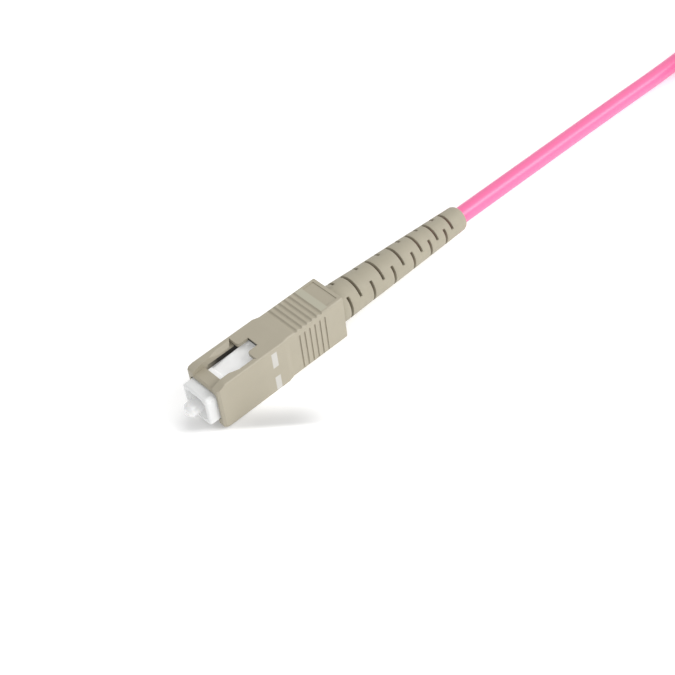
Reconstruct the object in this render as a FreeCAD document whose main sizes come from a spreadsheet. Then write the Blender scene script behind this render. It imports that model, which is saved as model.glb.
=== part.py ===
# SC fibre connector on a simplex cord.
# Frame: origin on the underside of the outer housing, Dims.origin_back behind its
# front end and under the optical axis; +X runs from the ferrule back along the
# cord, +Z is up, the optical axis is Y = 0 at the height Dims.axis_height. The
# sizes along X in the sheet count from the front end of the outer housing, and
# every piece is then placed back by Dims.origin_back. Millimetres.
import FreeCAD
import Part
import Sketcher
import math
import os

V = FreeCAD.Vector
ROT = FreeCAD.Rotation
PLACE = FreeCAD.Placement

doc = FreeCAD.newDocument("ScConnector")
dims = doc.addObject("Spreadsheet::Sheet", "Dims")
table = {}


def size(alias, value, note):
    """One driving dimension: a note, a plain number and its alias."""
    row = len(table) + 1
    dims.set("A%d" % row, note)
    dims.set("B%d" % row, repr(value))
    dims.setAlias("B%d" % row, alias)
    table[alias] = float(value)


# ---- driving dimensions -------------------------------------------------
size("axis_height", 4.5, "optical axis above the underside")
size("origin_back", 12.0, "origin behind the front end of the outer housing")
# outer housing
size("grip_len", 25.6, "outer housing length")
size("grip_half_w", 3.7, "half width, front section")
size("grip_height", 9.0, "height, front section")
size("step_front", 13.1, "front section ends")
size("step_rear", 14.3, "rear section starts")
size("rear_half_w", 3.48, "half width, rear section")
size("rear_drop", 0.1, "inset of the rear section, top and bottom")
size("long_edge_r", 0.38, "rounding of the long edges, front section")
size("rear_edge_r", 0.5, "rounding of the long edges, rear section")
size("cavity_half_w", 3.0, "half width of the cavity and of the front opening")
size("cavity_low", 0.65, "cavity floor")
size("cavity_high", 8.35, "cavity roof")
size("cavity_front", 8.1, "front end of the cavity and rear end of the window")
size("mouth_low", 1.6, "front opening, lower side")
size("mouth_high", 7.4, "front opening, upper side")
size("mouth_corner", 0.4, "corner cut of the front opening")
size("channel_half_w", 2.3, "half width of the latch channel between the rails")
size("bar_rear", 2.3, "rear face of the front bar")
size("bar_top", 7.85, "top of the front bar")
size("rail_front_z", 8.42, "height of the rails at their front end")
size("rail_slope_end", 1.8, "end of the slope on the rails")
size("rail_under_z", 7.85, "underside of the rails beside the windows")
size("rail_under_front", 2.9, "front end of the hollow under the rails")
size("facet_low_y", 2.22, "wall facet, lower edge")
size("facet_low_z", 8.2, "wall facet, lower edge height")
size("facet_high_y", 2.85, "wall facet, upper edge")
size("facet_start", 3.4, "wall facet starts")
size("facet_full", 5.0, "wall facet at full size")
size("notch_half_w", 1.13, "half width of the ramp notch")
size("notch_rear", 10.15, "rear end of the ramp notch")
size("notch_corner", 0.4, "rounding of the corners beside the ramp notch")
size("groove_w", 0.34, "side grip groove width")
size("groove_first", 16.35, "first side groove")
size("groove_pitch", 1.05, "groove spacing")
size("groove_depth", 0.15, "side groove depth")
size("groove_low", -0.2, "side grooves, lower end, past the lower edge")
size("groove_high", 7.75, "side grooves, upper end")
size("band_first", 15.95, "deepest line of the first wave on the window faces")
size("band_pitch", 1.03, "spacing of the waves on the window faces")
size("band_depth", 0.24, "depth of the waves on the window faces")
size("panel_front", 22.8, "plain label recess, front")
size("panel_rear", 25.0, "plain label recess, rear")
size("panel_half_w", 2.75, "plain label recess, half width")
size("panel_depth", 0.12, "plain label recess, depth")
size("key_front", 2.0, "key starts")
size("key_rear", 12.6, "key ends")
size("key_half_h", 1.25, "half height of the key")
size("key_out", 4.6, "outer face of the key")
# plug frame
size("nose_front", -1.8, "front of the plug frame")
size("nose_half_w", 2.9, "half width of the nose")
size("nose_half_h", 2.8, "half height of the nose")
size("barrel_half_h", 2.7, "half height of the frame behind the nose")
size("barrel_front", 1.6, "front of the lower part of the frame")
size("nose_corner", 0.5, "corner cut of the nose")
size("nose_rim_r", 0.3, "rounding of the nose rim")
size("nose_hole_half", 2.2, "half width of the nose cavity")
size("nose_hole_corner", 0.75, "corner cut of the nose cavity")
size("nose_square_end", 0.5, "end of the square part of the cavity")
size("nose_bore_r", 2.2, "round part of the nose cavity")
size("seat_front", 3.5, "front of the ferrule seat")
size("seat_x", 4.2, "ferrule seat")
size("seat_r", 1.9, "hole through the ferrule seat")
size("frame_bore_r", 2.3, "rear bore of the plug frame")
size("body_front", 9.5, "front of the plug frame's rear body")
size("body_rear", 17.0, "rear end of the plug frame")
size("body_half_w", 2.92, "half width of the rear body")
size("body_half_h", 3.4, "half height of the rear body")
size("lip_front", 2.35, "latch ramp, front face")
size("lip_rear", 3.1, "latch ramp, end of the front lip")
size("lip_z", 3.05, "front lip above the axis")
size("dip_z", 2.7, "dip above the axis")
size("ramp_start", 4.2, "latch ramp starts to rise")
size("ramp_knee", 5.8, "latch ramp, end of its steeper part")
size("knee_z", 2.97, "latch ramp at the knee, above the axis")
size("ramp_top", 8.0, "latch ramp reaches its top")
size("ramp_z", 3.15, "top of the latch ramp above the axis")
size("crest_rear", 10.1, "rear end of the ramp's level top, under the housing's roof")
size("neck_z", 2.62, "floor of the slot behind the ramp, above the axis")
size("neck_half_w", 1.2, "half width of the level top inside the notch")
size("ramp_half_w", 1.75, "half width of the latch ramp")
size("slot_z", 1.7, "floor of the corner slots above the axis")
# ferrule
size("ferrule_r", 1.2495, "ferrule radius")
size("ferrule_tip", -3.85, "end face of the ferrule")
size("ferrule_cone", 0.55, "length of the tip chamfer")
size("ferrule_tip_r", 0.7, "radius of the end face")
size("ferrule_rear", 6.4, "rear end of the ferrule")
size("ferrule_stem_r", 1.05, "radius of the ferrule's stem inside the flange")
size("fibre_bore_r", 0.0635, "bore for the fibre")
size("fibre_r", 0.0625, "bare fibre radius")
size("buffer_r", 0.45, "tight buffer radius")
# ferrule flange
size("flange_front", 4.22, "front of the flange")
size("flange_rear", 5.9, "rear of the flange")
size("flange_r", 2.2, "flange radius")
size("collar_rear", 7.2, "end of the spring collar")
size("collar_r", 1.3, "spring collar radius")
size("tail_rear", 13.0, "end of the flange tail")
size("tail_r", 1.0, "flange tail radius")
size("tail_bore_r", 0.5, "bore of the flange tail")
size("guide_r", 0.8, "guide tube radius")
size("guide_front", 11.0, "guide tube, front end")
size("guide_rear", 19.0, "guide tube, rear end")
# spring
size("spring_front", 6.15, "first coil centre")
size("spring_rear", 13.1, "last coil centre")
size("spring_pitch", 1.16, "spacing of the coils")
size("spring_mean_r", 1.62, "mean coil radius")
size("spring_wire_r", 0.22, "wire radius")
# stop ring
size("stop_front", 13.35, "front face of the stop ring")
size("stop_r", 2.28, "part of the stop ring inside the frame")
size("stop_bore_r", 1.2, "bore of the stop ring")
size("stop_flange_front", 17.02, "stop ring flange, front")
size("stop_flange_rear", 17.9, "stop ring flange, rear")
size("stop_flange_r", 2.75, "stop ring flange radius")
size("post_r", 1.75, "crimp post radius")
size("post_rear", 23.4, "rear end of the crimp post")
# crimp sleeve and strength members
size("crimp_front", 18.3, "front of the crimp sleeve")
size("crimp_r", 2.35, "large part, outside")
size("crimp_bore_r", 2.05, "large part, inside")
size("crimp_step", 23.5, "end of the large part")
size("crimp_small_front", 24.3, "start of the small part")
size("crimp_rear", 28.0, "rear end of the crimp sleeve")
size("crimp_small_r", 1.92, "small part, outside")
size("crimp_small_bore_r", 1.64, "small part, inside")
# boot, measured along its own axis from the rear face of the outer housing
size("boot_tilt", 1.5, "droop of the boot, degrees")
size("boot_neck", -4.4, "front end of the boot's neck")
size("boot_neck_r", 2.82, "radius of the neck")
size("boot_neck_bore_r", 2.5, "bore of the neck")
size("boot_root", 0.14, "shoulder of the boot")
size("boot_root_r", 3.25, "radius at the shoulder")
size("boot_mid_bore_r", 2.06, "bore over the small part of the crimp sleeve")
size("boot_bore_r", 1.56, "bore over the jacket")
size("boot_end", 29.45, "rear end of the boot")
size("boot_end_r", 2.24, "radius at the rear end")
size("slit_w", 0.52, "slit width")
# cord
size("cord_r", 1.5, "cord radius")
size("lead_front", -1.2, "front end of the jacket, along the boot axis")
size("lead_rear", 26.1, "end of the stretch inside the boot")
size("lead_bore_r", 0.75, "bore of the opened jacket")
size("lead_bore_end", 6.5, "end of the opened jacket")
size("hank_x", 133.0, "front fold of the hank, centre")
size("hank_y", -10.6, "centre line of the hank")
size("hank_run", 45.0, "straight part of the hank")
size("hank_inner_r", 7.5, "inside radius of the folds")
size("hank_outer_r", 13.5, "outside radius of the folds")
size("hank_low", 0.4, "underside of the hank")
size("hank_height", 12.0, "height of the hank")
size("tie_w", 4.0, "width of the tie")
size("tie_t", 0.4, "thickness of the tie")
doc.recompute()


def value(text):
    """Value of a sum of products of sheet names and numbers."""
    total = 0.0
    for term in str(text).replace("-", "+-").split("+"):
        if not term:
            continue
        sign = 1.0
        if term[0] == "-":
            sign, term = -1.0, term[1:]
        product = 1.0
        for factor in term.split("*"):
            product *= table[factor] if factor in table else float(factor)
        total += sign * product
    return total


def bound(text):
    """The same sum, written for an expression."""
    out, word = "", ""
    for ch in str(text) + " ":
        if ch.isalnum() or ch in "_.":
            word += ch
        else:
            out += "Dims." + word if word in table else word
            word = ""
            out += ch
    return out.strip()


def named(text):
    return any(w in str(text) for w in table)


def origin_part(body, role):
    for item in body.Origin.OriginFeatures:
        if item.Role == role:
            return item
    raise ValueError(role)


def new_body(label, on_axis=False, from_front=True):
    body = doc.addObject("PartDesign::Body", "Body_" + label)
    body.Label = label
    if from_front:
        body.setExpression("Placement.Base.x", "-Dims.origin_back")
    if on_axis:
        body.setExpression("Placement.Base.z", "Dims.axis_height")
    return body


def sketch(body, name, role, loops, offset=None):
    """Closed polygons on one of the body's own planes, every vertex dimensioned."""
    sk = body.newObject("Sketcher::SketchObject", name)
    sk.AttachmentSupport = [(origin_part(body, role), "")]
    sk.MapMode = "FlatFace"
    if offset is not None:
        sk.AttachmentOffset = PLACE(V(0, 0, value(offset)), ROT())
        if named(offset):
            sk.setExpression("AttachmentOffset.Base.z", bound(offset))
    for loop in loops:
        pts = [V(value(a), value(b), 0) for a, b in loop]
        n = len(pts)
        base = sk.GeometryCount
        for i in range(n):
            sk.addGeometry(Part.LineSegment(pts[i], pts[(i + 1) % n]))
        for i in range(n):
            sk.addConstraint(Sketcher.Constraint("Coincident", base + i, 2, base + (i + 1) % n, 1))
        for i, pair in enumerate(loop):
            for kind, axis, text in (("DistanceX", -2, pair[0]), ("DistanceY", -1, pair[1])):
                number = value(text)
                if abs(number) < 1e-9:
                    sk.addConstraint(Sketcher.Constraint("PointOnObject", base + i, 1, axis))
                    continue
                k = sk.addConstraint(Sketcher.Constraint(kind, -1, 1, base + i, 1, number))
                if named(text):
                    sk.setExpression("Constraints[%d]" % k, bound(text))
    return sk


def plus(text):
    return text


def minus(text):
    return "".join({"+": "-", "-": "+"}.get(c, c) for c in (text if text[0] in "+-" else "+" + text)).lstrip("+")


def rect(x0, x1, y0, y1):
    return [(x0, y0), (x1, y0), (x1, y1), (x0, y1)]


def set_length(feat, text):
    feat.Length = value(text)
    if named(text):
        feat.setExpression("Length", bound(text))


def pad(body, name, sk, length, reverse=False, both=False):
    feat = body.newObject("PartDesign::Pad", name)
    feat.Profile = sk
    set_length(feat, length)
    feat.Reversed = reverse
    if both:
        feat.SideType = "Symmetric"
    sk.Visibility = False
    return feat


def pocket(body, name, sk, length, reverse=False, both=False):
    """Cuts, and makes sure that material went."""
    doc.recompute()
    before = body.Shape.Volume
    feat = body.newObject("PartDesign::Pocket", name)
    feat.Profile = sk
    set_length(feat, length)
    feat.Reversed = reverse
    if both:
        feat.SideType = "Symmetric"
    doc.recompute()
    gone = before - body.Shape.Volume
    if gone < 1e-4:
        raise RuntimeError("%s cuts nothing" % name)
    print("  %-22s takes %.3f mm3" % (name, gone))
    return feat


def revolve(label, loop, on_axis=True):
    """A turned piece: half section in X and radius, turned about X."""
    body = new_body(label, on_axis)
    sk = sketch(body, label + "_section", "XZ_Plane", [loop])
    feat = body.newObject("PartDesign::Revolution", label + "_turned")
    feat.Profile = sk
    feat.ReferenceAxis = (origin_part(body, "X_Axis"), [""])
    feat.Angle = 360
    doc.recompute()
    return body


def edges_where(shape, test):
    return ["Edge%d" % (i + 1) for i, e in enumerate(shape.Edges) if test(e)]


def fillet(body, name, base, edges, radius):
    feat = body.newObject("PartDesign::Fillet", name)
    feat.Base = (base, edges)
    feat.Radius = value(radius)
    feat.setExpression("Radius", bound(radius))
    doc.recompute()
    return feat


# ---- outer housing ------------------------------------------------------
grip = new_body("outer_housing")
def rounded(w, low, high, r):
    """Rectangle about the Z line with rounded corners."""
    out = []
    for y, z, order in (("", "low", 0), ("", "high", 1), ("-", "high", 0), ("-", "low", 1)):
        corner = []
        for a, b in (("0", "1"), ("0.134", "0.5"), ("0.5", "0.134"), ("1", "0")):
            yy = "%s-%s*%s" % (w, a, r)
            zz = "%s-%s*%s" % (high, b, r) if z == "high" else "%s+%s*%s" % (low, b, r)
            corner.append((yy if y == "" else minus(yy), zz))
        # walk round anticlockwise, seen with +Y to the right
        if (y, z) in (("", "low"), ("-", "high")):
            corner.reverse()
        out += corner
    return out


front_end = rounded("grip_half_w", "0", "grip_height", "long_edge_r")
rear_end = rounded("rear_half_w", "rear_drop", "grip_height-rear_drop", "rear_edge_r")
pad(grip, "front_section", sketch(grip, "front_section_end", "YZ_Plane", [front_end]), "step_front")
near = sketch(grip, "step_front_end", "YZ_Plane", [front_end], "step_front")
far = sketch(grip, "step_rear_end", "YZ_Plane", [rear_end], "step_rear")
step = grip.newObject("PartDesign::AdditiveLoft", "step")
step.Profile = near
step.Sections = [far]
step.Ruled = True
pad(grip, "rear_section", sketch(grip, "rear_section_end", "YZ_Plane", [rear_end], "step_rear"),
    "grip_len-step_rear")
doc.recompute()
sides = []
for flip in (plus, minus):
    sides.append([("-1", flip("grip_half_w-0.85")), ("0.4", flip("grip_half_w")),
                  ("0.4", flip("grip_half_w+1")), ("-1", flip("grip_half_w+1"))])
pocket(grip, "front_side_chamfers", sketch(grip, "front_side_plan", "XY_Plane", sides), "40", both=True)
tops = [[("-0.5", "rail_front_z-0.161"), ("rail_slope_end", "grip_height"),
         ("rail_slope_end", "grip_height+1"), ("-0.5", "grip_height+1")],
        [("-0.5", "grip_height-rail_front_z+0.161"), ("rail_slope_end", "0"),
         ("rail_slope_end", "-1"), ("-0.5", "-1")]]
f = pocket(grip, "rail_slopes", sketch(grip, "rail_slope_profile", "XZ_Plane", tops), "40", both=True)
key = sketch(grip, "key_plan", "XZ_Plane", [rect("key_front", "key_rear",
             "axis_height-key_half_h", "axis_height+key_half_h")], "-grip_half_w+0.4")
f = pad(grip, "key", key, "key_out-grip_half_w+0.4", reverse=True)
doc.recompute()
if grip.Shape.BoundBox.YMax < value("key_out") - 0.01:
    key.AttachmentOffset = PLACE(V(0, 0, -value("grip_half_w-0.4")), ROT())
    doc.recompute()
top_key = lambda e: all(abs(v.Point.y - value("key_out")) < 1e-3 for v in e.Vertexes)
f = fillet(grip, "key_edges", f, edges_where(f.Shape, top_key), "long_edge_r")

c = "mouth_corner"
mouth = [("-cavity_half_w+" + c, "mouth_low"), ("cavity_half_w-" + c, "mouth_low"),
         ("cavity_half_w", "mouth_low+" + c), ("cavity_half_w", "mouth_high-" + c),
         ("cavity_half_w-" + c, "mouth_high"), ("-cavity_half_w+" + c, "mouth_high"),
         ("-cavity_half_w", "mouth_high-" + c), ("-cavity_half_w", "mouth_low+" + c)]
pocket(grip, "front_opening", sketch(grip, "front_opening_end", "YZ_Plane", [mouth], "-0.5"),
       "cavity_front+1", reverse=True)
pocket(grip, "rear_cavity", sketch(grip, "rear_cavity_end", "YZ_Plane",
       [rect("-cavity_half_w", "cavity_half_w", "cavity_low", "cavity_high")], "cavity_front"),
       "30", reverse=True)
# windows over the latch ramps, the channel in front of them and the bar between the rails
pocket(grip, "windows", sketch(grip, "window_plan", "XY_Plane",
       [rect("bar_rear", "cavity_front", "-channel_half_w", "channel_half_w")]), "40", both=True)
bar = [[("-0.5", "mouth_high-0.15"), ("0.35", "bar_top"), ("bar_rear+0.2", "bar_top"),
        ("bar_rear+0.2", "grip_height+1"), ("-0.5", "grip_height+1")],
       [("-0.5", "grip_height-mouth_high+0.15"), ("0.35", "grip_height-bar_top"),
        ("bar_rear+0.2", "grip_height-bar_top"), ("bar_rear+0.2", "-1"), ("-0.5", "-1")]]
pocket(grip, "channel", sketch(grip, "channel_profile", "XZ_Plane", bar), "2*channel_half_w", both=True)
n, c = "notch_half_w", "notch_corner"
notch = [("cavity_front-0.5", n + "+" + c), ("cavity_front", n + "+" + c), ("cavity_front+0.29*" + c, n + "+0.29*" + c),
         ("cavity_front+" + c, n), ("notch_rear", n)]
pocket(grip, "ramp_notches", sketch(grip, "notch_plan", "XY_Plane",
       [notch + [(a, minus(b)) for a, b in reversed(notch)]]), "40", both=True)
# the rails beside the windows are hollow underneath, as the cavity behind them is
pocket(grip, "rail_hollows", sketch(grip, "rail_hollow_end", "YZ_Plane",
       [rect("-cavity_half_w", "cavity_half_w", "grip_height-rail_under_z", "rail_under_z")], "rail_under_front"),
       "cavity_front-rail_under_front+0.1", reverse=True)


def facet(sy, sz, grow):
    """Triangle between the wall and the window face, in Y and Z."""
    y = (lambda t: t) if sy > 0 else minus
    z = (lambda t: t) if sz > 0 else (lambda t: "grip_height-" + t)
    if not grow:
        return [(y("facet_low_y"), z("8.99")), (y("facet_low_y+0.09"), z("8.99")),
                (y("facet_low_y+0.09"), z("9.05")), (y("facet_low_y"), z("9.05"))]
    lift = (lambda t: t) if sz > 0 else (lambda t: t)
    return [(y("facet_low_y"), z("facet_low_z")), (y("facet_high_y"), z("9.0")),
            (y("facet_high_y"), z("9.05")), (y("facet_low_y"), z("9.05"))]


quads = [(1, 1), (1, -1), (-1, 1), (-1, -1)]
pocket(grip, "wall_facets", sketch(grip, "wall_facet_ends", "YZ_Plane",
       [facet(sy, sz, True) for sy, sz in quads], "facet_full"), "cavity_front-facet_full", reverse=True)
for k, (sy, sz) in enumerate(quads):
    far = sketch(grip, "facet_end_%d" % k, "YZ_Plane", [facet(sy, sz, True)], "facet_full")
    near = sketch(grip, "facet_tip_%d" % k, "YZ_Plane", [facet(sy, sz, False)], "facet_start")
    doc.recompute()
    before = grip.Shape.Volume
    loft = grip.newObject("PartDesign::SubtractiveLoft", "facet_taper_%d" % k)
    loft.Profile = near
    loft.Sections = [far]
    loft.Ruled = True
    doc.recompute()
    print("  facet taper", k, round(before - grip.Shape.Volume, 4))
tri = lambda s: [("cavity_front-0.8", s("channel_half_w-0.1")), ("cavity_front", s("channel_half_w-0.1")),
                 ("cavity_front", s("3.2")), ("cavity_front-0.8", s("channel_half_w+0.05"))]
pocket(grip, "relief_top", sketch(grip, "relief_top_plan", "XY_Plane", [tri(plus), tri(minus)], "8.2"),
       "2", reverse=True)
pocket(grip, "relief_bottom", sketch(grip, "relief_bottom_plan", "XY_Plane", [tri(plus), tri(minus)], "0.8"), "2")

# finger grooves: six on each side face, six across each window face
gw = "0.5*groove_w"
side_groove = [rect("groove_first-" + gw, "groove_first+" + gw, "rear_half_w-groove_depth", "rear_half_w+0.5"),
               rect("groove_first-" + gw, "groove_first+" + gw, "-rear_half_w-0.5", "-rear_half_w+groove_depth")]
g1 = pocket(grip, "side_groove", sketch(grip, "side_groove_plan", "XY_Plane", side_groove, "groove_low"),
            "groove_high-groove_low", reverse=True)


def row_of(body, name, original, pitch, count):
    before = body.Shape.Volume
    feat = body.newObject("PartDesign::LinearPattern", name)
    feat.Originals = [original]
    feat.Direction = (origin_part(body, "X_Axis"), [""])
    feat.Occurrences = count
    feat.Length = value(pitch) * (count - 1)
    feat.setExpression("Length", "%s * %d" % (bound(pitch), count - 1))
    body.Tip = feat
    doc.recompute()
    print("  %-22s takes %.3f mm3" % (name, before - body.Shape.Volume))
    return feat


row_of(grip, "side_grooves", g1, "groove_pitch", 6)
top = "grip_height-rear_drop"
# one wave of the grip: a long easy slope down from the front, a short steep one up to the rear
WAVE = [("0.62", "0"), ("0.44", "0.2"), ("0.26", "0.62"), ("0.1", "0.93"), ("-0.03", "1"), ("-0.14", "0.9"),
        ("-0.24", "0.5"), ("-0.33", "0.12"), ("-0.4", "0")]
wave_top = [("band_first-" + a if a[0] != "-" else "band_first+" + a[1:], top + "-%s*band_depth" % d) for a, d in WAVE]
wave_low = [("band_first-" + a if a[0] != "-" else "band_first+" + a[1:], "rear_drop+%s*band_depth" % d) for a, d in WAVE]
band = [wave_top + [("band_first+0.4", top + "+0.5"), ("band_first-0.62", top + "+0.5")],
        wave_low + [("band_first+0.4", "rear_drop-0.5"), ("band_first-0.62", "rear_drop-0.5")]]
g2 = pocket(grip, "face_groove", sketch(grip, "face_groove_profile", "XZ_Plane", band), "8", both=True)
row_of(grip, "face_grooves", g2, "band_pitch", 6)
pocket(grip, "label_recess", sketch(grip, "label_plan", "XY_Plane",
       [rect("panel_front", "panel_rear", "-panel_half_w", "panel_half_w")],
       "grip_height-rear_drop-panel_depth"), "2", reverse=True)

# ---- plug frame, heights measured from the axis -------------------------
frame = new_body("plug_frame", True)


def eight(w, h, c):
    return [("-%s+%s" % (w, c), "-" + h), ("%s-%s" % (w, c), "-" + h), (w, "-%s+%s" % (h, c)), (w, "%s-%s" % (h, c)),
            ("%s-%s" % (w, c), h), ("-%s+%s" % (w, c), h), ("-" + w, "%s-%s" % (h, c)), ("-" + w, "-%s+%s" % (h, c))]


f = pad(frame, "nose", sketch(frame, "nose_end", "YZ_Plane", [eight("nose_half_w", "nose_half_h", "nose_corner")],
        "nose_front"), "barrel_front-nose_front")
doc.recompute()
f = fillet(frame, "nose_rim", f, edges_where(f.Shape, lambda e: all(abs(v.Point.x - value("nose_front")) < 1e-3
           for v in e.Vertexes)), "nose_rim_r")
f = pad(frame, "barrel", sketch(frame, "barrel_end", "YZ_Plane", [eight("nose_half_w", "barrel_half_h", "nose_corner")],
        "barrel_front-0.2"), "body_front-barrel_front+0.7")
f = pad(frame, "rear_body", sketch(frame, "rear_body_end", "YZ_Plane", [eight("body_half_w", "body_half_h", "0.5")],
        "body_front"), "body_rear-body_front")
# latch ramps above and below: a lip, a dip, the ramp and a level top that runs back under the housing's roof
rise = [("lip_front", "2"), ("lip_front", "lip_z"), ("lip_rear", "lip_z"), ("lip_rear+0.3", "dip_z"),
        ("ramp_start", "dip_z"), ("ramp_knee", "knee_z"), ("ramp_top", "ramp_z"), ("body_front+0.3", "ramp_z"),
        ("body_front+0.3", "2")]
f = pad(frame, "latch_ramps", sketch(frame, "latch_ramp_profile", "XZ_Plane",
        [rise, [(a, minus(b)) for a, b in rise]]), "2*ramp_half_w", both=True)
# inside the notch the rear body is cut down to the ramp's level, with a slot behind it
neck = [("body_front-0.1", "ramp_z"), ("crest_rear", "ramp_z"), ("crest_rear", "neck_z"), ("11.2", "neck_z"),
        ("11.6", "body_half_h"), ("11.6", "body_half_h+0.5"), ("body_front-0.1", "body_half_h+0.5")]
pocket(frame, "neck_relief", sketch(frame, "neck_plan", "XZ_Plane",
       [neck, [(a, minus(b)) for a, b in neck]]), "2*neck_half_w", both=True)
slots = []
for sy, sz in quads:
    y = plus if sy > 0 else minus
    z = plus if sz > 0 else minus
    slots.append([(y("ramp_half_w"), z("slot_z")), (y("nose_half_w+0.5"), z("slot_z")),
                  (y("nose_half_w+0.5"), z("nose_half_h+0.6")), (y("ramp_half_w"), z("nose_half_h+0.6"))])
pocket(frame, "corner_slots", sketch(frame, "corner_slot_ends", "YZ_Plane", slots, "lip_front"),
       "body_front-lip_front", reverse=True)
pocket(frame, "nose_cavity", sketch(frame, "nose_cavity_end", "YZ_Plane",
       [eight("nose_hole_half", "nose_hole_half", "nose_hole_corner")], "nose_front-1"),
       "nose_square_end-nose_front+1", reverse=True)
bore = sketch(frame, "bore_section", "XZ_Plane",
              [[("nose_square_end-0.3", "0"), ("nose_square_end-0.3", "nose_bore_r"), ("seat_front", "nose_bore_r"),
                ("seat_front", "seat_r"), ("seat_x", "seat_r"), ("seat_x", "frame_bore_r"),
                ("body_rear+1", "frame_bore_r"), ("body_rear+1", "0")]])
doc.recompute()
before = frame.Shape.Volume
g = frame.newObject("PartDesign::Groove", "bore")
g.Profile = bore
g.ReferenceAxis = (origin_part(frame, "X_Axis"), [""])
g.Angle = 360
doc.recompute()
print("  frame bore takes %.2f mm3" % (before - frame.Shape.Volume))
# snap windows in the side walls, where the stop ring's rib clicks in
pocket(frame, "snap_windows", sketch(frame, "snap_window_plan", "XZ_Plane",
       [rect("14.2", "15.4", "-1.1", "1.1")]), "20", both=True)

# ---- ferrule, flange, guide tube, buffer and fibre ----------------------
ferrule = revolve("ferrule", [("ferrule_tip", "fibre_bore_r"), ("ferrule_tip", "ferrule_tip_r"),
          ("ferrule_tip+ferrule_cone", "ferrule_r"), ("flange_front", "ferrule_r"), ("flange_front", "ferrule_stem_r"),
          ("ferrule_rear", "ferrule_stem_r"), ("ferrule_rear", "0.4"), ("ferrule_rear-0.8", "fibre_bore_r")])
flange = revolve("ferrule_flange", [("flange_front", "ferrule_stem_r"), ("flange_front", "flange_r-0.1"),
         ("flange_front+0.1", "flange_r"), ("flange_rear", "flange_r"), ("flange_rear", "collar_r"),
         ("collar_rear", "collar_r"), ("collar_rear+0.3", "tail_r"), ("tail_rear", "tail_r"),
         ("tail_rear", "guide_r"), ("guide_front", "guide_r"), ("guide_front", "tail_bore_r"),
         ("ferrule_rear", "tail_bore_r"), ("ferrule_rear", "ferrule_stem_r")])
slot = sketch(flange, "flange_slot_end", "YZ_Plane", [rect("-0.4", "0.4", "flange_r-0.45", "flange_r+0.5")],
              "flange_front-0.1")
f = pocket(flange, "flange_slot", slot, "flange_rear-flange_front+0.2", reverse=True)
ring = flange.newObject("PartDesign::PolarPattern", "flange_slots")
ring.Originals = [f]
ring.Axis = (origin_part(flange, "X_Axis"), [""])
ring.Angle = 360
ring.Occurrences = 4
flange.Tip = ring
doc.recompute()
guide = revolve("guide_tube", [("guide_front", "tail_bore_r"), ("guide_front", "guide_r"),
                               ("guide_rear", "guide_r"), ("guide_rear", "tail_bore_r")])
buffer = revolve("tight_buffer", [("ferrule_rear+0.5", "0"), ("ferrule_rear+0.5", "buffer_r"),
                                  ("30", "buffer_r"), ("30", "0")])
fibre = revolve("bare_fibre", [("ferrule_tip", "0"), ("ferrule_tip", "fibre_r"),
                               ("ferrule_rear+0.5", "fibre_r"), ("ferrule_rear+0.5", "0")])

# ---- spring -------------------------------------------------------------
helix = doc.addObject("Part::Helix", "spring_path")
helix.Pitch = value("spring_pitch")
helix.Height = value("spring_rear-spring_front")
helix.Radius = value("spring_mean_r")
helix.setExpression("Pitch", "Dims.spring_pitch")
helix.setExpression("Height", "Dims.spring_rear - Dims.spring_front")
helix.setExpression("Radius", "Dims.spring_mean_r")
wire = doc.addObject("Part::Circle", "spring_wire")
wire.Radius = value("spring_wire_r")
wire.setExpression("Radius", "Dims.spring_wire_r")
wire.Placement = PLACE(V(value("spring_mean_r"), 0, 0), ROT(V(1, 0, 0), 90))
wire.setExpression("Placement.Base.x", "Dims.spring_mean_r")
doc.recompute()
spring = doc.addObject("Part::Sweep", "spring")
spring.Label = "ferrule_spring"
spring.Sections = [wire]
spring.Spine = (helix, ["Edge%d" % (i + 1) for i in range(len(helix.Shape.Edges))])
spring.Solid = True
spring.Frenet = True
spring.Placement = PLACE(V(value("spring_front-origin_back"), 0, value("axis_height")), ROT(V(0, 1, 0), 90))
spring.setExpression("Placement.Base.x", "Dims.spring_front - Dims.origin_back")
spring.setExpression("Placement.Base.z", "Dims.axis_height")

# ---- stop ring, crimp sleeve, strength members --------------------------
knurl = []
for i in range(7):
    x = 18.6 + 0.62 * i
    knurl += [("%.2f" % x, "post_r"), ("%.2f" % (x + 0.18), "post_r-0.12"), ("%.2f" % (x + 0.36), "post_r")]
stop = revolve("stop_ring", [("stop_front", "stop_bore_r"), ("stop_front", "stop_r-0.15"),
       ("stop_front+0.15", "stop_r"), ("stop_flange_front", "stop_r"), ("stop_flange_front", "stop_flange_r"),
       ("stop_flange_rear", "stop_flange_r"), ("stop_flange_rear", "post_r")] + knurl +
       [("post_rear", "post_r"), ("post_rear", "stop_bore_r")])
for side, place, back in (("left", "1.9", False), ("right", "-1.9", True)):
    rib = sketch(stop, "snap_rib_plan_" + side, "XZ_Plane", [rect("14.35", "15.25", "-0.8", "0.8")], place)
    pad(stop, "snap_rib_" + side, rib, "0.8", reverse=back)
doc.recompute()
crimp = revolve("crimp_sleeve", [("crimp_front", "crimp_bore_r"), ("crimp_front", "crimp_r"),
        ("crimp_step", "crimp_r"), ("crimp_small_front", "crimp_small_r"), ("crimp_rear", "crimp_small_r"),
        ("crimp_rear", "crimp_small_bore_r"), ("crimp_small_front", "crimp_small_bore_r"),
        ("crimp_step", "crimp_bore_r")])
flat = pocket(crimp, "crimp_flat", sketch(crimp, "crimp_flat_end", "YZ_Plane",
              [rect("-2", "2", "crimp_r-0.13", "crimp_r+0.5")], "19.2"), "3.2", reverse=True)
hexa = crimp.newObject("PartDesign::PolarPattern", "crimp_flats")
hexa.Originals = [flat]
hexa.Axis = (origin_part(crimp, "X_Axis"), [""])
hexa.Angle = 360
hexa.Occurrences = 6
crimp.Tip = hexa
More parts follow.
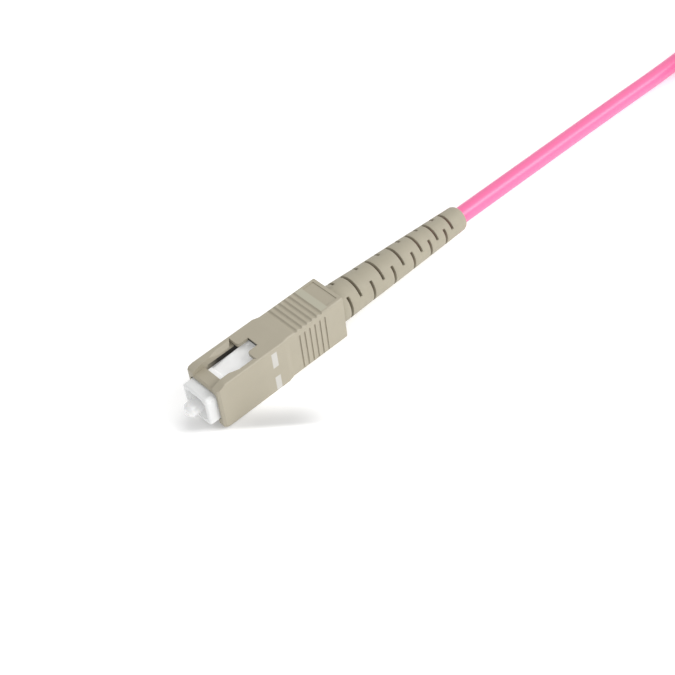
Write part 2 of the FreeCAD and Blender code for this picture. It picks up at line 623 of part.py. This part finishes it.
yarn = revolve("aramid_yarn", [("18.0", "post_r+0.02"), ("18.0", "crimp_bore_r-0.02"),
       ("crimp_step-0.05", "crimp_bore_r-0.02"), ("24.2", "1.55"), ("24.2", "0.8"), ("23.9", "0.8"),
       ("post_rear+0.05", "post_r-0.3"), ("post_rear+0.05", "post_r+0.02")])

# ---- boot, on an axis that droops a little ------------------------------
blank = new_body("boot_blank", from_front=False)
prof = [("0.14", "boot_root_r"), ("2.0", "3.25"), ("3.8", "3.17"), ("6.7", "3.04"), ("9.6", "2.96"),
        ("12.6", "2.86"), ("15.6", "2.755"), ("18.6", "2.64"), ("21.7", "2.515"), ("24.8", "2.42"),
        ("27.2", "2.32"), ("boot_end-0.55", "boot_end_r+0.02"), ("boot_end-0.16", "boot_end_r-0.16"),
        ("boot_end", "boot_end_r-0.5")]
sk = sketch(blank, "boot_section", "XZ_Plane",
            [[("boot_neck", "boot_neck_bore_r"), ("boot_neck", "boot_neck_r"), ("boot_root", "boot_neck_r")] + prof +
             [("boot_end", "boot_bore_r"), ("3.0", "boot_bore_r"), ("3.0", "boot_mid_bore_r"),
              ("-0.9", "boot_mid_bore_r"), ("-0.9", "boot_neck_bore_r")]])
turn = blank.newObject("PartDesign::Revolution", "boot_turned")
turn.Profile = sk
turn.ReferenceAxis = (origin_part(blank, "X_Axis"), [""])
turn.Angle = 360
cuts = []
SLITS = {"low": ([1.9, 7.05, 11.83, 16.4, 20.47, 24.18], 14.0, 61.0),
         "high": ([4.25, 9.4, 14.05, 18.35, 22.2, 25.85], 104.0, 52.0)}
for name, (places, middle, half) in SLITS.items():
    for i, s in enumerate(places):
        for k, centre in enumerate((middle, middle + 180.0)):
            c = doc.addObject("Part::Cylinder", "slit_%s_%d_%d" % (name, i, k))
            c.Radius = 4.0
            c.Angle = 2 * half
            c.Height = value("slit_w")
            c.setExpression("Height", "Dims.slit_w")
            c.Placement = PLACE(V(s - 0.5 * value("slit_w"), 0, 0),
                                ROT(V(0, 1, 0), 90).multiply(ROT(V(0, 0, 1), centre + 90.0 - half)))
            cuts.append(c)
tool = doc.addObject("Part::MultiFuse", "slits")
tool.Shapes = cuts
boot = doc.addObject("Part::Cut", "boot_cut")
boot.Label = "boot"
boot.Base = blank
boot.Tool = tool
boot.Placement = PLACE(V(value("grip_len-origin_back"), 0, value("axis_height")), ROT(V(0, 1, 0), value("boot_tilt")))
boot.setExpression("Placement.Base.x", "Dims.grip_len - Dims.origin_back")
boot.setExpression("Placement.Base.z", "Dims.axis_height")

# ---- jacket inside the boot, on the same axis ---------------------------
lead = new_body("jacket_lead", from_front=False)
sk = sketch(lead, "jacket_section", "XZ_Plane",
            [[("lead_front", "lead_bore_r"), ("lead_front", "cord_r"), ("lead_rear", "cord_r"), ("lead_rear", "0"),
              ("lead_bore_end", "0"), ("lead_bore_end", "lead_bore_r")]])
turn = lead.newObject("PartDesign::Revolution", "jacket_turned")
turn.Profile = sk
turn.ReferenceAxis = (origin_part(lead, "X_Axis"), [""])
turn.Angle = 360
lead.Placement = PLACE(V(value("grip_len-origin_back"), 0, value("axis_height")), ROT(V(0, 1, 0), value("boot_tilt")))
lead.setExpression("Placement.Base.x", "Dims.grip_len - Dims.origin_back")
lead.setExpression("Placement.Base.z", "Dims.axis_height")

# ---- cord: straight runs joined by tangent arcs -------------------------
tilt = math.radians(value("boot_tilt"))


def on_boot(s):
    return V(value("grip_len-origin_back") + s * math.cos(tilt), 0, value("axis_height") - s * math.sin(tilt))


start = on_boot(value("lead_rear"))
run_y = value("hank_y") + value("hank_outer_r") - value("cord_r")
run_z = value("hank_low") + value("cord_r")
route = [start, V(60.6, 0.25, 3.2), V(82.5, 0.75, 2.3), V(102.0, 0.55, 1.95), V(value("hank_x-origin_back"), run_y, run_z)]


def tube_path(points):
    """Edges of the route, each arc as large as its two runs allow."""
    edges, here = [], points[0]
    for i in range(1, len(points) - 1):
        a, b, c = points[i - 1], points[i], points[i + 1]
        u = (b - a).normalize()
        w = (c - b).normalize()
        half = 0.5 * u.getAngle(w)
        run = min((b - a).Length, (c - b).Length)
        trim = 0.45 * run
        radius = trim / math.tan(half)
        p0, p1 = b - u * trim, b + w * trim
        bis = (w - u).normalize()
        mid = b + bis * (radius / math.cos(half) - radius)
        edges.append(Part.LineSegment(here, p0).toShape())
        edges.append(Part.Arc(p0, mid, p1).toShape())
        print("  cord point %d: runs %.1f and %.1f mm, turn %.2f deg, radius %.1f mm"
              % (i, (b - a).Length, (c - b).Length, math.degrees(2 * half), radius))
        here = p1
    edges.append(Part.LineSegment(here, points[-1]).toShape())
    return Part.Wire(edges)


path = tube_path(route)
way = (route[1] - start).normalize()
disc = Part.Wire(Part.makeCircle(value("cord_r"), start, way))
tube_shape = path.makePipeShell([disc], True, False)
tube = doc.addObject("Part::Feature", "cord_tube")
tube.Label = "cord_tube"
tube.Shape = tube_shape
section = math.pi * value("cord_r") ** 2
print("tube volume %.3f, section times length %.3f" % (tube_shape.Volume, section * path.Length))
mean_r = 0.5 * (value("hank_inner_r") + value("hank_outer_r"))
per_turn = 2 * value("hank_run") + 2 * math.pi * mean_r
outside = path.Length - (value("boot_end") - value("lead_rear"))
print("hank: room for 8 turns of %.1f mm, holding about 6 turns" % per_turn)
print("cord from the boot to the hank: %.1f mm" % outside)
print("route:", [tuple(round(v, 4) for v in q) for q in route])



def racetrack(name, radius):
    """Two round ends and the straight part between them."""
    ends = []
    for i in (0, 1):
        end = doc.addObject("Part::Cylinder", "%s_end_%d" % (name, i))
        end.Radius = value(radius)
        end.setExpression("Radius", "Dims." + radius)
        end.Height = value("hank_height")
        end.setExpression("Height", "Dims.hank_height")
        if i:
            end.Placement = PLACE(V(value("hank_run"), 0, 0), ROT())
            end.setExpression("Placement.Base.x", "Dims.hank_run")
        ends.append(end)
    mid = doc.addObject("Part::Box", name + "_middle")
    mid.Length, mid.Width, mid.Height = value("hank_run"), 2 * value(radius), value("hank_height")
    mid.setExpression("Length", "Dims.hank_run")
    mid.setExpression("Width", "2 * Dims." + radius)
    mid.setExpression("Height", "Dims.hank_height")
    mid.Placement = PLACE(V(0, -value(radius), 0), ROT())
    mid.setExpression("Placement.Base.y", "-Dims." + radius)
    both = doc.addObject("Part::MultiFuse", name)
    both.Shapes = ends + [mid]
    both.Refine = True
    return both


coil = doc.addObject("Part::Cut", "hank_cut")
coil.Label = "cord_coil"
coil.Base = racetrack("hank_outside", "hank_outer_r")
coil.Tool = racetrack("hank_inside", "hank_inner_r")
coil.Placement = PLACE(V(value("hank_x-origin_back"), value("hank_y"), value("hank_low")), ROT())
coil.setExpression("Placement.Base.x", "Dims.hank_x - Dims.origin_back")
coil.setExpression("Placement.Base.y", "Dims.hank_y")
coil.setExpression("Placement.Base.z", "Dims.hank_low")

tie = new_body("coil_tie", from_front=False)
gap = "0.03"
wide = "hank_outer_r+" + gap
sk = sketch(tie, "tie_section", "YZ_Plane",
            [rect("-" + "hank_outer_r-" + gap + "-tie_t", wide + "+tie_t", "0", "hank_low+hank_height+tie_t+" + gap),
             rect("-" + "hank_outer_r-" + gap, wide, "hank_low", "hank_low+hank_height+" + gap)])
pad(tie, "tie_band", sk, "tie_w", both=True)
tie.Placement = PLACE(V(value("hank_x-origin_back") + 0.5 * value("hank_run"), value("hank_y"), 0), ROT())
tie.setExpression("Placement.Base.x", "Dims.hank_x - Dims.origin_back + 0.5 * Dims.hank_run")
tie.setExpression("Placement.Base.y", "Dims.hank_y")

doc.recompute()

# ---- check and write ----------------------------------------------------
pieces = [grip, frame, ferrule, flange, guide, buffer, fibre, spring, stop, crimp, yarn, boot, lead, tube, coil, tie]
bad = [o.Label for o in doc.Objects if "Invalid" in o.State or "Error" in o.State]
if bad:
    raise RuntimeError("failed objects: %s" % bad)
for piece in pieces:
    shape = piece.Shape
    if shape.isNull() or not shape.isValid():
        raise RuntimeError("%s has no valid shape" % piece.Label)
os.makedirs("parts", exist_ok=True)
for piece in pieces:
    shape = piece.Shape
    box = shape.BoundBox
    print("%-15s solids %d  volume %9.3f  X %.2f..%.2f  Y %.2f..%.2f  Z %.2f..%.2f" % (piece.Label, len(shape.Solids),
          shape.Volume, box.XMin, box.XMax, box.YMin, box.YMax, box.ZMin, box.ZMax))
    shape.exportStep("parts/%s.step" % piece.Label)
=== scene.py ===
# SC fibre connector: the looks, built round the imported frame.
import bpy
import bmesh
import math
from mathutils import Matrix, Vector


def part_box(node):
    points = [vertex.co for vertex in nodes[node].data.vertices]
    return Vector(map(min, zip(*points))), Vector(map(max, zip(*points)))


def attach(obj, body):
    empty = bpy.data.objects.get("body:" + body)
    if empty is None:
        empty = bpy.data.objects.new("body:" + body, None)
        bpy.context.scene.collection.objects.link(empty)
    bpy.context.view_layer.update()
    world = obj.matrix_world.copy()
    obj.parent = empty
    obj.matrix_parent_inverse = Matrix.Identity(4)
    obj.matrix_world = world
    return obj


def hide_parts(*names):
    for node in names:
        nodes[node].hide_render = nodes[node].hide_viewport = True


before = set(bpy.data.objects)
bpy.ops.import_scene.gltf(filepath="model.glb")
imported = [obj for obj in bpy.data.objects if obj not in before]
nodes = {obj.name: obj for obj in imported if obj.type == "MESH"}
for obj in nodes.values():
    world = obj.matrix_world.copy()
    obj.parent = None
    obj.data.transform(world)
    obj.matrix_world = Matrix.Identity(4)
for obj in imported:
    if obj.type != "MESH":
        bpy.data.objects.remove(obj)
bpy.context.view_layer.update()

MM = 0.001
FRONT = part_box("outer_housing")[0][0]      # front end of the outer housing
scene = bpy.context.scene


# ---------------------------------------------------------------- materials
def srgb(r, g, b):
    """Linear colour from 0..255 display values."""
    out = []
    for c in (r, g, b):
        c /= 255.0
        out.append(c / 12.92 if c <= 0.04045 else ((c + 0.055) / 1.055) ** 2.4)
    return tuple(out) + (1.0,)


class Mat:
    """A small helper round one node material."""

    def __init__(self, name):
        self.m = bpy.data.materials.new(name)
        self.m.use_nodes = True
        self.t = self.m.node_tree
        self.out = self.t.nodes["Material Output"]
        self.bsdf = self.t.nodes["Principled BSDF"]
        self.coord = self.t.nodes.new("ShaderNodeTexCoord")

    def node(self, kind, **props):
        n = self.t.nodes.new(kind)
        for k, v in props.items():
            setattr(n, k, v)
        return n

    def link(self, a, b):
        self.t.links.new(a, b)

    def set(self, **values):
        for k, v in values.items():
            self.bsdf.inputs[k.replace("_", " ")].default_value = v

    def noise(self, scale, detail=3.0, rough=0.55, stretch=(1, 1, 1)):
        mp = self.node("ShaderNodeMapping")
        mp.inputs["Scale"].default_value = stretch
        self.link(self.coord.outputs["Object"], mp.inputs["Vector"])
        n = self.node("ShaderNodeTexNoise")
        n.inputs["Scale"].default_value = scale
        n.inputs["Detail"].default_value = detail
        n.inputs["Roughness"].default_value = rough
        self.link(mp.outputs["Vector"], n.inputs["Vector"])
        return n.outputs["Fac"]

    def ramp(self, fac, stops):
        r = self.node("ShaderNodeValToRGB")
        els = r.color_ramp.elements
        while len(els) < len(stops):
            els.new(0.5)
        for e, (p, c) in zip(els, stops):
            e.position = p
            e.color = c
        self.link(fac, r.inputs["Fac"])
        return r.outputs["Color"]

    def range(self, fac, lo, hi, a=0.0, b=1.0):
        r = self.node("ShaderNodeMapRange")
        for k, v in (("From Min", a), ("From Max", b), ("To Min", lo), ("To Max", hi)):
            r.inputs[k].default_value = v
        self.link(fac, r.inputs["Value"])
        return r.outputs["Result"]

    def math(self, op, a, b=None):
        n = self.node("ShaderNodeMath", operation=op)
        for i, v in enumerate((a, b)):
            if v is None:
                continue
            if isinstance(v, (int, float)):
                n.inputs[i].default_value = v
            else:
                self.link(v, n.inputs[i])
        return n.outputs["Value"]

    def mix(self, fac, a, b):
        n = self.node("ShaderNodeMix", data_type="RGBA")
        for key, v in ((0, fac), (6, a), (7, b)):
            if isinstance(v, (int, float, tuple)):
                n.inputs[key].default_value = v
            else:
                self.link(v, n.inputs[key])
        return n.outputs[2]

    def bump(self, height, distance, strength=1.0, normal=None):
        b = self.node("ShaderNodeBump")
        b.inputs["Distance"].default_value = distance
        b.inputs["Strength"].default_value = strength
        self.link(height, b.inputs["Height"])
        if normal is not None:
            self.link(normal, b.inputs["Normal"])
        return b.outputs["Normal"]

    def color(self, socket):
        self.link(socket, self.bsdf.inputs["Base Color"])

    def rough(self, socket):
        self.link(socket, self.bsdf.inputs["Roughness"])

    def normal(self, socket):
        self.link(socket, self.bsdf.inputs["Normal"])


def moulded(name, base, spread, rough, grain, sss=0.0, spec=0.5, extra=None, deep=0.001, tint=(1.0, 0.8, 0.6)):
    """Moulded plastic: faint cloudiness of colour, fine spark-eroded grain."""
    m = Mat(name)
    cloud = m.noise(260.0, 4.0, 0.6)
    fine = m.noise(9000.0, 2.0, 0.5)
    lo = tuple(c * (1 - spread) for c in base[:3]) + (1.0,)
    hi = tuple(min(1.0, c * (1 + spread)) for c in base[:3]) + (1.0,)
    col = m.ramp(cloud, [(0.3, lo), (0.7, hi)])
    if extra:
        col = extra(m, col)
    m.color(col)
    m.rough(m.range(fine, rough - 0.06, rough + 0.06, 0.3, 0.7))
    m.normal(m.bump(fine, grain))
    m.set(Specular_IOR_Level=spec)
    if sss:
        m.set(Subsurface_Weight=sss, Subsurface_Scale=deep)
        m.bsdf.inputs["Subsurface Radius"].default_value = tint
    return m


def inside(m, x0, x1, z0, z1, soft=0.00004):
    """1 inside a rectangle of X and Z on the -Y side face, in metres."""
    sep = m.node("ShaderNodeSeparateXYZ")
    m.link(m.coord.outputs["Object"], sep.inputs[0])
    x, y, z = sep.outputs
    x0, x1 = x0 + FRONT, x1 + FRONT
    px = m.math("MULTIPLY", m.range(x, 0, 1, x0 - soft, x0 + soft), m.range(x, 1, 0, x1 - soft, x1 + soft))
    pz = m.math("MULTIPLY", m.range(z, 0, 1, z0 - soft, z0 + soft), m.range(z, 1, 0, z1 - soft, z1 + soft))
    side = m.range(y, 1, 0, -0.00362, -0.00360)
    return m.math("MULTIPLY", m.math("MULTIPLY", px, pz), side)


def block(m, xs, ys, zs, soft=0.00002):
    """1 inside a block: X from the housing's front end, Y and Z from the optical axis, in metres."""
    sep = m.node("ShaderNodeSeparateXYZ")
    m.link(m.coord.outputs["Object"], sep.inputs[0])
    out = None
    for socket, (a, b), base in zip(sep.outputs, (xs, ys, zs), (FRONT, 0.0, 0.0045)):
        a, b = a + base, b + base
        one = m.math("MULTIPLY", m.range(socket, 0, 1, a - soft, a + soft), m.range(socket, 1, 0, b - soft, b + soft))
        out = one if out is None else m.math("MULTIPLY", out, one)
    return out


def painted_sheen_band(m):
    """1 on the smoother band across the upper and lower faces, just before the rear end, where a lighter colour is
    painted sheen.
    """
    sep = m.node("ShaderNodeSeparateXYZ")
    m.link(m.coord.outputs["Object"], sep.inputs[0])
    x, y, z = sep.outputs
    x0, x1, soft = FRONT + 0.02120, FRONT + 0.02275, 0.00006
    px = m.math("MULTIPLY", m.range(x, 0, 1, x0 - soft, x0 + soft), m.range(x, 1, 0, x1 - soft, x1 + soft))
    pz = m.math("MAXIMUM", m.range(z, 0, 1, 0.00885, 0.00890), m.range(z, 1, 0, 0.00010, 0.00015))
    return m.math("MULTIPLY", px, pz)


def marks_and_painted_light(m, col):
    mask = m.math("MAXIMUM", inside(m, 0.0105, 0.01155, 0.00515, 0.0082),
                  inside(m, 0.0105, 0.01155, 0.0001, 0.00315))
    col = m.mix(mask, col, (0.545, 0.532, 0.495, 1))
    # painted sheen: the smoother rear band is coloured lighter to stand in for its sheen
    col = m.mix(painted_sheen_band(m), col, (0.432, 0.414, 0.326, 1))
    # painted shade: the hollow inside and the end wall of the notches are coloured near black where they lie in deep
    # shade
    hollow = block(m, (0.0029, 0.0250), (-0.00325, 0.00325), (-0.00336, 0.00336))
    sep = m.node("ShaderNodeSeparateXYZ")
    m.link(m.coord.outputs["Object"], sep.inputs[0])
    hollow = m.math("MULTIPLY", hollow, m.range(sep.outputs[0], 0.25, 1.0, FRONT + 0.0030, FRONT + 0.0052))
    ends = block(m, (0.01012, 0.0108), (-0.0018, 0.0018), (-0.00432, 0.00432))
    return m.mix(m.math("MAXIMUM", hollow, ends), col, (0.03, 0.026, 0.018, 1))


beige = moulded("housing_plastic", (0.387, 0.352, 0.272, 1), 0.02, 0.42, 0.000006, spec=0.4, extra=marks_and_painted_light)
boot_m = moulded("boot_elastomer", (0.376, 0.345, 0.267, 1), 0.03, 0.6, 0.00001, spec=0.3)
white = moulded("frame_plastic", (0.70, 0.705, 0.70, 1), 0.01, 0.35, 0.000004, sss=0.4, deep=0.0018,
                 tint=(1.0, 1.0, 1.0))
# painted light: the white plastic is given a little emission inside the nose and on the ramps, to lighten them
painted_glow = white.math("ADD",
                  white.math("MULTIPLY", block(white, (-0.0017, 0.0020), (-0.0026, 0.0026), (-0.0026, 0.0026)), 0.15),
                  white.math("MULTIPLY", block(white, (0.0021, 0.0125), (-0.0030, 0.0030), (-0.0040, 0.0040)), 0.19))
white.link(painted_glow, white.bsdf.inputs["Emission Strength"])
white.bsdf.inputs["Emission Color"].default_value = (1.0, 1.0, 1.0, 1)
zirconia = moulded("zirconia", (0.80, 0.80, 0.795, 1), 0.005, 0.15, 0.000001, sss=0.1, spec=0.6)
ptfe = moulded("ptfe", (0.75, 0.75, 0.75, 1), 0.01, 0.5, 0.000003)
buffer_m = moulded("buffer_plastic", (0.75, 0.73, 0.68, 1), 0.01, 0.45, 0.000003)
pink = moulded("jacket_pink", (0.86, 0.152, 0.355, 1), 0.015, 0.33, 0.000004, spec=0.6)
strap = moulded("strap_plastic", (0.02, 0.02, 0.022, 1), 0.1, 0.55, 0.00001)


def metal(name, base, rough, stretch):
    m = Mat(name)
    lines = m.noise(3000.0, 2.0, 0.6, stretch)
    m.color(m.ramp(lines, [(0.3, tuple(c * 0.9 for c in base) + (1,)), (0.7, tuple(base) + (1,))]))
    m.rough(m.range(lines, rough - 0.08, rough + 0.08))
    m.normal(m.bump(lines, 0.000004))
    m.set(Metallic=1.0)
    return m


nickel = metal("nickel", (0.72, 0.70, 0.66), 0.28, (1.0, 0.05, 0.05))
brass = metal("crimp_metal", (0.78, 0.62, 0.38), 0.3, (1.0, 0.1, 0.1))
steel = metal("spring_steel", (0.6, 0.6, 0.61), 0.25, (1.0, 1.0, 1.0))
aramid = Mat("aramid")
strands = aramid.noise(2500.0, 3.0, 0.6, (0.05, 1.0, 1.0))
aramid.color(aramid.ramp(strands, [(0.3, (0.55, 0.38, 0.06, 1)), (0.7, (0.86, 0.66, 0.2, 1))]))
aramid.normal(aramid.bump(strands, 0.00004))
aramid.set(Roughness=0.55)
silica = Mat("silica")
silica.set(Transmission_Weight=1.0, Roughness=0.03, IOR=1.46)
silica.color(silica.ramp(silica.noise(500.0), [(0.3, (0.95, 0.97, 0.98, 1)), (0.7, (1, 1, 1, 1))]))

LOOK = {"outer_housing": beige, "boot": boot_m, "plug_frame": white, "ferrule": zirconia,
        "ferrule_flange": nickel, "stop_ring": nickel, "crimp_sleeve": brass, "ferrule_spring": steel,
        "guide_tube": ptfe, "tight_buffer": buffer_m, "bare_fibre": silica, "aramid_yarn": aramid,
        "jacket_lead": pink, "coil_tie": strap, "cord_tube": pink, "cord_coil": pink}
for name, look in LOOK.items():
    ob = nodes[name]
    ob.data.materials.clear()
    ob.data.materials.append(look.m)


def round_edges(name, width, segments=2, angle=28.0):
    """Soft moulded edges on a node whose shape stays as it is."""
    ob = nodes[name]
    w = ob.modifiers.new("weld", "WELD")
    w.merge_threshold = 2e-6
    b = ob.modifiers.new("edges", "BEVEL")
    b.width = width
    b.segments = segments
    b.limit_method = "ANGLE"
    b.angle_limit = math.radians(angle)
    b.use_clamp_overlap = True
    b.harden_normals = False
    b.miter_outer = "MITER_ARC"
    n = ob.modifiers.new("normals", "WEIGHTED_NORMAL")
    n.keep_sharp = False
    for p in ob.data.polygons:
        p.use_smooth = True


for name, width in (("outer_housing", 0.00008), ("plug_frame", 0.0001), ("boot", 0.00005)):
    round_edges(name, width)


# ---------------------------------------------------------------- the cord
CORD_D = 3.0 * MM
ROUTE = [(39.6911, 0.0, 3.8168), (60.6, 0.25, 3.2), (82.5, 0.75, 2.3), (102.0, 0.55, 1.95), (121.0, 1.4, 1.9)]
HANK = (121.0, -10.6)    # centre of the front fold
RUN = 45.0               # straight part


def eased(t):
    t = max(0.0, min(1.0, t))
    return t * t * (3 - 2 * t)


# Places round the hank: 0..1 back run (+X), 1..2 far fold, 2..3 front run (-X), 3..4 near fold.
# (turn + place where a step starts, its length, change of offset, change of height), mm
STEPS = [(2.45, 0.5, -3, 0), (4 + 2.02, 0.42, 0, 3), (8 + 0.5, 0.46, 3, 0), (12 + 0.03, 0.44, 0, 3),
         (12 + 2.3, 0.55, -3, 0), (16 + 2.02, 0.42, 0, 3), (20 + 0.5, 0.46, 3, 0)]
END_PLACE = 23.66


def hank_point(s):
    off, z = 12.0, 1.9
    for at, long, dr, dz in STEPS:
        e = eased((s - at) / long)
        off += dr * e
        z += dz * e
    k = int(s // 1) % 4
    f = s - int(s // 1)
    if k == 0:
        x, y = f * RUN, off
    elif k == 1:
        a = math.pi / 2 - math.pi * f
        x, y = RUN + off * math.cos(a), off * math.sin(a)
    elif k == 2:
        x, y = RUN - f * RUN, -off
    else:
        a = -math.pi / 2 - math.pi * f
        x, y = off * math.cos(a), off * math.sin(a)
    # the runs bow a little, as cord does between two folds
    if k in (0, 2):
        y -= (0.5 if k == 0 else -0.5) * math.sin(math.pi * f) ** 2 * eased((s - 0.1) / 0.6)
    return (HANK[0] + x, HANK[1] + y, z)


points = list(ROUTE)
place = 0.2
while place <= END_PLACE:
    points.append(hank_point(place))
    place += 0.2 if int(place // 1) % 2 == 0 else 1.0 / 12
    # land on the start of each fold and run, so that every turn has the same points
    near = round(place)
    if abs(place - near) < 0.02:
        place = float(near)
curve = bpy.data.curves.new("cord_jacket", "CURVE")
curve.dimensions = "3D"
spline = curve.splines.new("NURBS")
spline.points.add(len(points) - 1)
for p, q in zip(spline.points, points):
    p.co = (q[0] * MM, q[1] * MM, q[2] * MM, 1.0)
spline.order_u = 3
spline.use_endpoint_u = True
curve.resolution_u = 8
curve.bevel_depth = CORD_D / 2
curve.bevel_resolution = 8
curve.use_fill_caps = True
cord = bpy.data.objects.new("cord_jacket", curve)
scene.collection.objects.link(cord)
curve.materials.append(pink.m)
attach(cord, "plug")
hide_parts("cord_tube", "cord_coil")


def end_piece(name, radius, proud, look):
    """A round piece that shows in the cord's cut end."""
    end, before = Vector(points[-1]) * MM, Vector(points[-2]) * MM
    way = (end - before).normalized()
    deep = 0.3 * MM
    shape = bmesh.new()
    bmesh.ops.create_cone(shape, cap_ends=True, segments=32, radius1=radius, radius2=radius, depth=deep + proud)
    turn = way.to_track_quat("Z", "Y").to_matrix().to_4x4()
    bmesh.ops.transform(shape, matrix=Matrix.Translation(end + way * 0.5 * (proud - deep)) @ turn, verts=shape.verts)
    mesh = bpy.data.meshes.new(name)
    shape.to_mesh(mesh)
    shape.free()
    mesh.materials.append(look.m)
    ob = bpy.data.objects.new(name, mesh)
    scene.collection.objects.link(ob)
    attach(ob, "plug")
    return ob


# the pigtail's far end is cut off square: yarn inside the jacket, the buffered fibre in the middle
ENDS = [end_piece("cord_end_yarn", 1.0 * MM, 0.12 * MM, aramid),
        end_piece("cord_end_buffer", 0.45 * MM, 0.4 * MM, buffer_m)]

# ---------------------------------------------------------------- stage
bm = bmesh.new()
bmesh.ops.create_grid(bm, x_segments=1, y_segments=1, size=2.0)
me = bpy.data.meshes.new("floor")
bm.to_mesh(me)
bm.free()
floor = bpy.data.objects.new("floor", me)
scene.collection.objects.link(floor)
fm = Mat("floor_white")
fm.set(Roughness=0.9)
fm.bsdf.inputs["Emission Color"].default_value = (1, 1, 1, 1)
# painted shadow: the floor is darker and less emissive in a soft grey stripe from under the ferrule past the
# housing's front corner, sharp on its near edge
sep = fm.node("ShaderNodeSeparateXYZ")
fm.link(fm.coord.outputs["Object"], sep.inputs[0])
fx, fy, fz = sep.outputs
along = fm.math("ADD", fm.math("MULTIPLY", fx, 0.73), fm.math("MULTIPLY", fy, -0.68))
over = fm.math("ADD", fm.math("MULTIPLY", fx, 0.68), fm.math("MULTIPLY", fy, 0.73))


def soft_step(value, a, b):
    r = fm.node("ShaderNodeMapRange", interpolation_type="SMOOTHSTEP")
    for k, v in (("From Min", a), ("From Max", b), ("To Min", 0.0), ("To Max", 1.0)):
        r.inputs[k].default_value = v
    fm.link(value, r.inputs["Value"])
    return r.outputs["Result"]


def less(value):
    return fm.math("SUBTRACT", 1.0, value)


painted_shadow = fm.math("MULTIPLY", soft_step(over, -0.0117, -0.0101), less(soft_step(over, -0.0098, -0.0045)))
painted_shadow = fm.math("MULTIPLY", painted_shadow, fm.math("MULTIPLY", soft_step(along, -0.0158, -0.0112),
                                             less(soft_step(along, 0.0030, 0.0140))))
painted_shadow = fm.math("MULTIPLY", painted_shadow, fm.range(soft_step(along, -0.0090, 0.0), 0.6, 1.0))
fm.color(fm.mix(painted_shadow, (0.92, 0.92, 0.92, 1), (0.70, 0.70, 0.70, 1)))
fm.link(fm.math("MULTIPLY", less(painted_shadow), 0.32), fm.bsdf.inputs["Emission Strength"])
me.materials.append(fm.m)

world = bpy.data.worlds.new("studio")
scene.world = world
world.use_nodes = True
world.node_tree.nodes["Background"].inputs["Color"].default_value = (1, 1, 1, 1)
world.node_tree.nodes["Background"].inputs["Strength"].default_value = 0.78


def area(name, pos, target, size, watts, color=(1, 1, 1)):
    light = bpy.data.lights.new(name, "AREA")
    light.energy = watts
    light.shape = "RECTANGLE"
    light.size = size[0]
    light.size_y = size[1]
    light.color = color
    ob = bpy.data.objects.new(name, light)
    scene.collection.objects.link(ob)
    ob.location = pos
    ob.rotation_euler = (Vector(target) - Vector(pos)).to_track_quat("-Z", "Y").to_euler()
    return ob


# one large softbox at about 45 degrees on the side of the plug that faces the camera;
# an area light of power W spreads W / pi per steradian, so its distance and power set its share
TARGET = (0.02, 0.0, 0.004)
KEY = Vector((0.36, -0.42, 0.41))
area("key", tuple(Vector(TARGET) + KEY), TARGET, (0.48, 0.32), 2.75)

# ---------------------------------------------------------------- camera
cam = bpy.data.cameras.new("camera")
cam.lens = 72.642
cam.sensor_width = 36.0
cam.sensor_fit = "HORIZONTAL"
cam.clip_start = 0.005
cam.clip_end = 20.0
cob = bpy.data.objects.new("camera", cam)
scene.collection.objects.link(cob)
fwd = Vector((0.42356, 0.54987, -0.71989)).normalized()
up = Vector((0.54154, 0.48336, 0.68783))
right = fwd.cross(up).normalized()
up = right.cross(fwd).normalized()
cob.matrix_world = Matrix(((right.x, up.x, -fwd.x, -79.475 * MM), (right.y, up.y, -fwd.y, -121.690 * MM),
                           (right.z, up.z, -fwd.z, 156.399 * MM), (0, 0, 0, 1)))
scene.camera = cob
scene.view_settings.view_transform = "Standard"
